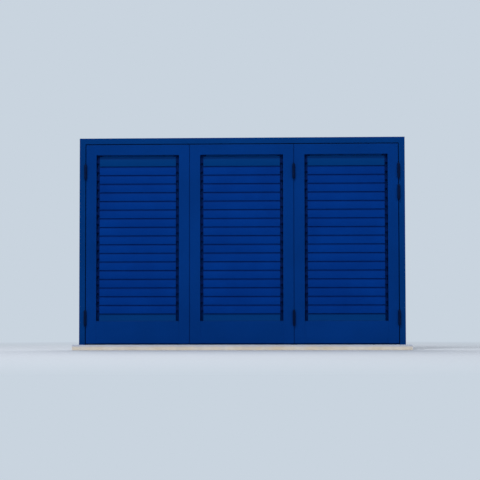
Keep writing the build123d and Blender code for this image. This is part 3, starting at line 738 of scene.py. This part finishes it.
def sashLight(side):
    # the clear opening of a sash: the beads' inner edge, read from the mesh
    points = [point.co for point in nodes[f"{side}_sash_beads"].data.vertices]
    front = min(point.y for point in points)
    ring = [point for point in points if abs(point.y - front) < samePlane]
    middle = (min(p.x for p in ring) + max(p.x for p in ring)) / 2
    centre = (min(p.z for p in ring) + max(p.z for p in ring)) / 2
    reachX = min(abs(p.x - middle) for p in ring)
    reachZ = min(abs(p.z - centre) for p in ring)
    return Vector((middle - reachX, 0, centre - reachZ)), Vector((middle + reachX, 0, centre + reachZ))


for side in ("left", "right"):
    glazeSash(side)
    stripSash(side)
print("glazing units and strips made")


# What closes the leaves against slanting light: a folded flange behind the slat ends, from the rack's bar,
# and a lip under each top rail
closers = {
    "flangeReach": 0.014,
    "flangeStart": 0.0148,    # how far beyond the slat ends its leg stands, beside the rack's arms
    "flangeThickness": 0.0015,
    "flangeGap": 0.0008,      # clear of the slats and of the closing strip
    "barFromBack": 0.0075,    # where the leg ends, just inside the rack's bar
    "lipThickness": 0.0015,
    "lipDrop": 0.016,
    "lipFold": 0.003,
    "lipGap": 0.0004,         # the lip stands just behind the flanges
    "soft": 0.0005,
}


def makeFlange(leaf, end, turn, front):
    # the corner first, then the flange along the slats and the leg back to the bar
    rackLow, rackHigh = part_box(f"{leaf}_leaf_slat_racks")
    outer = end - turn * closers["flangeStart"]
    edges = sorted((outer, outer + turn * closers["flangeThickness"]))
    low = Vector((edges[0], front, rackLow.z))
    high = Vector((edges[1], front + closers["flangeThickness"], rackHigh.z))
    flange = startBlock(f"{leaf}_rack_flange", low, high)
    bpy.ops.object.mode_set(mode="EDIT")
    pickFaces(flange, lambda face: face.normal.y > facing)
    pushOut((0, rackHigh.y - closers["barFromBack"] - high.y, 0))
    pickFaces(flange, lambda face: face.normal.x * turn > facing and face.calc_center_median().y < high.y)
    pushOut((turn * (closers["flangeReach"] + closers["flangeStart"]), 0, 0))
    bpy.ops.object.mode_set(mode="OBJECT")
    return flange


def closeLeaf(leaf):
    rows = islandsOf(f"{leaf}_leaf_slats")
    slatLow, slatHigh = rows[-1]
    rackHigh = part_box(f"{leaf}_leaf_slat_racks")[1]
    front = max(high.y for low, high in rows) + closers["flangeGap"]
    flanges = [makeFlange(leaf, end, turn, front) for end, turn in ((slatLow.x, 1), (slatHigh.x, -1))]
    flange = joined(flanges, f"{leaf}_rack_flanges")
    softenEdges(flange, closers["soft"])
    smooth(flange)
    # the leaf finish paints shade on the flanges, which stand deeper than the leaf's front face
    fit(flange, f"{leaf}_leaf", "leaf")
    lipFront = front + closers["flangeThickness"] + closers["lipGap"]
    low = Vector((slatLow.x, lipFront, rackHigh.z - closers["lipDrop"]))
    high = Vector((slatHigh.x, lipFront + closers["lipThickness"], rackHigh.z))
    lip = startBlock(f"{leaf}_top_lip", low, high)
    bpy.ops.object.mode_set(mode="EDIT")
    pickFaces(lip, lambda face: face.normal.z < -facing)
    pushOut((0, 0, -closers["lipThickness"]))
    pickFaces(lip, lambda face: face.normal.y > facing and face.calc_center_median().z < low.z)
    pushOut((0, closers["lipFold"], 0))    # folded back at its lower edge
    bpy.ops.object.mode_set(mode="OBJECT")
    softenEdges(lip, closers["soft"])
    smooth(lip)
    # the lip takes the paler blue that paints light on it
    fit(lip, f"{leaf}_leaf", "lip")


for leaf in ("left", "middle", "right"):
    closeLeaf(leaf)
print("rack flanges and top lips made")


# Screw heads with a six lobed recess, modelled once, pointing along +Y, and copied
screw = {
    "radius": 0.0034,
    "rim": 0.0007,
    "crown": 0.0006,
    "shoulder": 0.55,       # shares of the way from the rim to the recess
    "slope": 0.45,
    "paintedShade": 0.0017,
    "recessReach": 1.3,     # points nearer than this many recess radii shape the recess
    "depth": 0.0009,
    "lobe": 0.72,
    "sides": 12,
    "smoothUnder": 40,
}


def makeScrew():
    creaseShade = Vector((0, 0, 0))
    head = startRod("screwMaster", creaseShade, inwards, screw["radius"], screw["rim"], screw["sides"])
    bpy.ops.object.mode_set(mode="EDIT")
    pickFaces(head, lambda face: face.normal.y > facing)
    bpy.ops.mesh.inset(thickness=(screw["radius"] - screw["paintedShade"]) * screw["shoulder"])
    bpy.ops.transform.translate(value=(0, screw["crown"], 0))
    bpy.ops.mesh.inset(thickness=(screw["radius"] - screw["paintedShade"]) * screw["slope"])
    top = screw["rim"] + screw["crown"]
    reach = screw["paintedShade"] * screw["recessReach"]
    ring = bmesh.from_edit_mesh(head.data)
    inner = [point for point in ring.verts if point.co.y > top - samePlane and point.co.length < reach]
    inner.sort(key=lambda point: math.atan2(point.co.z, point.co.x))
    for index, point in enumerate(inner):
        if index % 2:
            point.co.x *= screw["lobe"]
            point.co.z *= screw["lobe"]
    bmesh.update_edit_mesh(head.data)
    pushOut((0, -screw["depth"], 0))
    bpy.ops.object.mode_set(mode="OBJECT")
    smooth(head, screw["smoothUnder"])
    return head


def copyTo(master, spots, name, body, finish):
    # copies of a small part, each with its own mesh, at (place, direction) spots, joined to one piece
    copies = []
    for place, direction in spots:
        copied = master.copy()
        copied.data = master.data.copy()
        bpy.context.scene.collection.objects.link(copied)
        turn = inwards.rotation_difference(direction).to_matrix().to_4x4()
        copied.data.transform(Matrix.Translation(place) @ turn)
        copies.append(copied)
    fit(joined(copies, name), body, finish)


plates = {
    "rodGuide": 0.003,        # plate thickness of the rod's guides
    "rodGuideInset": 0.0065,  # screw centre from the plate's end
    "boltGuide": 0.002,
    "boltGuideInset": 0.0045,
    "boltGuideEnd": 0.0054,
    "keeper": 0.003,
    "keeperInset": 0.008,
    "keeperBase": 0.004,
    "windowHinge": 0.0025,
    "windowHingeWidth": 0.022,
    "windowHingeInset": 0.0055,
    "rosetteReach": 0.025,    # screw centre from the rosette's middle
}


def guideSpots():
    spots = []
    for low, high in islandsOf("lock_rod_guides"):
        middle = (low + high) / 2
        for z in (low.z + plates["rodGuideInset"], high.z - plates["rodGuideInset"]):
            spots.append((Vector((middle.x, low.y + plates["rodGuide"], z)), inwards))
    return spots


def boltGuideSpots():
    spots = []
    for low, high in islandsOf("left_leaf_bolt_guides"):
        for z in (low.z + plates["boltGuideEnd"], high.z - plates["boltGuideEnd"]):
            for x in (low.x + plates["boltGuideInset"], high.x - plates["boltGuideInset"]):
                spots.append((Vector((x, low.y + plates["boltGuide"], z)), inwards))
    return spots


def keeperSpots():
    lowerBox, upperBox = islandsOf("lock_keepers")
    spots = []
    for sign in (-1, 1):
        low, high = upperBox
        x = (low.x + high.x) / 2 + sign * ((high.x - low.x) / 2 - plates["keeperInset"])
        spots.append((Vector((x, low.y + plates["keeper"], high.z - plates["keeperInset"])), inwards))
        low, high = lowerBox
        spots.append((Vector((x, (low.y + high.y) / 2, low.z + plates["keeperBase"])), upwards))
    return spots


def windowHingeSpots(side, node, far, face):
    # two screws in each plate, which runs from far, the edge away from the barrel
    spots = []
    for low, high in islandsOf(node):
        if (low.x + high.x) * (-1 if side == "left" else 1) < 0:
            continue
        edge, turn = (low.x, 1) if far == "low" else (high.x, -1)
        inset = plates["windowHingeInset"]
        for reach in (inset, plates["windowHingeWidth"] - 2 * inset):
            spots.append((Vector((edge + turn * reach, face, (low.z + high.z) / 2)), inwards))
    return spots


def rosetteSpots(side):
    low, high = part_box(f"{side}_handle_rosette")
    middle = (low + high) / 2
    reach = plates["rosetteReach"]
    return [(Vector((middle.x, high.y, middle.z + turn * reach)), inwards) for turn in (-1, 1)]


def makeWindowScrews(master):
    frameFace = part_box("window_frame")[1].y + plates["windowHinge"]
    for side, sashEdge, frameEdge in (("left", "high", "low"), ("right", "low", "high")):
        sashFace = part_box(f"{side}_sash_frame")[1].y + plates["windowHinge"]
        spots = windowHingeSpots(side, f"{side}_sash_hinge_halves", sashEdge, sashFace)
        spots += rosetteSpots(side)
        copyTo(master, spots, f"{side}_sash_screws", f"{side}_sash", "aluminium")
        spots = windowHingeSpots(side, "window_hinge_frame_halves", frameEdge, frameFace)
        copyTo(master, spots, f"{side}_hinge_screws", "frame", "aluminium")


def makeFittingScrews():
    master = makeScrew()
    makeWindowScrews(master)
    copyTo(master, guideSpots(), "rod_guide_screws", "middle_leaf", "steel")
    copyTo(master, boltGuideSpots(), "bolt_guide_screws", "left_leaf", "steel")
    copyTo(master, keeperSpots(), "keeper_screws", "frame", "steel")
    bpy.data.objects.remove(master)


makeFittingScrews()
print("fitting screws placed")


# Hooded caps over the drain slots, on the weather side of the window frame's bottom member
drain = {
    "width": 0.030,
    "height": 0.012,
    "depth": 0.004,
    "wall": 0.00112,
    "hollow": 0.006,
    "slope": 0.0022,
    "rise": 0.022,
    "places": (0.22, 0.78),    # as shares of the sash width
    "soft": 0.0006,
}


def makeDrainCaps():
    low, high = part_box("window_frame")
    front = low.y
    caps = []
    for side in ("left", "right"):
        sashLow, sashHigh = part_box(f"{side}_sash_frame")
        for share in drain["places"]:
            x = sashLow.x + (sashHigh.x - sashLow.x) * share
            corner = Vector((x - drain["width"] / 2, front - drain["depth"], low.z + drain["rise"]))
            other = Vector((x + drain["width"] / 2, front, low.z + drain["rise"] + drain["height"]))
            cap = startBlock("drain_cap", corner, other)
            bpy.ops.object.mode_set(mode="EDIT")
            above = other.z - samePlane
            outside = front - samePlane
            pickPoints(cap, lambda point: point.co.z > above and point.co.y < outside)
            bpy.ops.transform.translate(value=(0, drain["slope"], 0))
            pickFaces(cap, lambda face: face.normal.z < -facing)
            bpy.ops.mesh.inset(thickness=drain["wall"])
            pushOut((0, 0, drain["hollow"]))
            bpy.ops.object.mode_set(mode="OBJECT")
            softenEdges(cap, drain["soft"])
            caps.append(cap)
    cap = joined(caps, "drain_caps")
    smooth(cap)
    fit(cap, "frame", "white")


makeDrainCaps()
print("drain caps made")


# A wide pale floor; away from the object it shows the same plain tone as the world, so no horizon is seen
stage = {
    "reach": 60.0,
    "near": tint(208, 214, 222),
    "cloud": tint(202, 208, 216),
    "cloudScale": 0.8,
    "cloudShare": 0.25,
    "far": tint(201, 212, 223),
    "farFrom": 0.2,     # where the far tone begins and is full, in tens of metres
    "farFull": 0.48,
    "rough": 0.85,
    "gloss": 0.1,
    "skinScale": 60.0,
    "skinDepth": 0.0004,
}


def makeStage():
    sheet = Sheet("floorPaint")
    place = sheet.place()
    clouds = sheet.noise(place, stage["cloudScale"], 3.0) * stage["cloudShare"]
    base = sheet.mix(clouds, stage["near"], stage["cloud"])
    skin = sheet.bump(sheet.noise(place, stage["skinScale"], 3.0), stage["skinDepth"])
    sockets = {
        "Base Color": base,
        "Roughness": stage["rough"],
        "Specular IOR Level": stage["gloss"],
        "Normal": skin,
    }
    paint = sheet.node("ShaderNodeBsdfPrincipled", {}, sockets)
    plain = sheet.node("ShaderNodeEmission", {}, {"Color": stage["far"], "Strength": 1.0})
    away = sheet.node("ShaderNodeVectorMath", {"operation": "LENGTH"}, {0: place}, output="Value")
    share = sheet.ramp(away * 0.1, (stage["farFrom"], 0.0), (stage["farFull"], 1.0)) * sheet.seen()
    sheet.node("ShaderNodeOutputMaterial", {}, {"Surface": sheet.blend(share, paint, plain)})
    deselectAll()
    bpy.ops.mesh.primitive_plane_add(size=2 * stage["reach"], location=(0, 0, 0))
    floor = bpy.context.object
    floor.name = "floor"
    floor.data.materials.append(sheet.material)


makeStage()


# Soft studio light: a wide lamp in front and above, a fill from the other side and one behind
lamps = {
    "key": {"place": (-2.2, -6.0, 7.5), "aim": (0, 0, 0.7), "size": 4.0, "watts": 490},
    "fill": {"place": (5.0, -7.0, 3.5), "aim": (0, 0, 0.7), "size": 5.0, "watts": 150},
    "rear": {"place": (-0.5, 2.2, 4.6), "aim": (0, 0, 0.7), "size": 3.0, "watts": 100},
}
sky = {"tone": tint(225, 232, 242), "strength": 0.32}


def lightScene():
    for name, lamp in lamps.items():
        light = bpy.data.lights.new(name, "AREA")
        light.size = lamp["size"]
        light.energy = lamp["watts"]
        holder = bpy.data.objects.new(name, light)
        holder.location = lamp["place"]
        direction = Vector(lamp["aim"]) - Vector(lamp["place"])
        holder.rotation_euler = direction.to_track_quat("-Z", "Y").to_euler()
        bpy.context.scene.collection.objects.link(holder)
    sheet = Sheet("studio", bpy.data.worlds.new("studio"))
    glow = sheet.node("ShaderNodeBackground", {}, {"Color": sky["tone"], "Strength": sky["strength"]})
    plain = sheet.node("ShaderNodeBackground", {}, {"Color": stage["far"], "Strength": 1.0})
    sheet.node("ShaderNodeOutputWorld", {}, {"Surface": sheet.blend(sheet.seen(), glow, plain)})
    bpy.context.scene.world = sheet.material


lightScene()
bpy.context.scene.view_settings.view_transform = "Standard"
print("stage and lamps set")


# The photograph's view: a long lens a little right of the middle, turned slightly left and up
cameraView = {
    "place": (0.40, -10.06, 0.177),
    "turnLeft": 2.337,
    "tiltUp": 3.017,
    "roll": 0.080,
    "focalPixels": 1565.9,
    "imagePixels": 480,
    "sensor": 36.0,
}


def placeCamera():
    data = bpy.data.cameras.new("camera")
    data.sensor_width = cameraView["sensor"]
    data.lens = cameraView["focalPixels"] / cameraView["imagePixels"] * cameraView["sensor"]
    camera = bpy.data.objects.new("camera", data)
    turn = Matrix.Rotation(math.radians(cameraView["turnLeft"]), 4, "Z")
    tilt = Matrix.Rotation(math.radians(cameraView["tiltUp"]), 4, "X")
    roll = Matrix.Rotation(math.radians(cameraView["roll"]), 4, "Y")
    level = Matrix.Rotation(math.pi / 2, 4, "X")
    camera.matrix_world = Matrix.Translation(cameraView["place"]) @ turn @ tilt @ roll @ level
    bpy.context.scene.collection.objects.link(camera)
    bpy.context.scene.camera = camera


placeCamera()
print("camera placed")
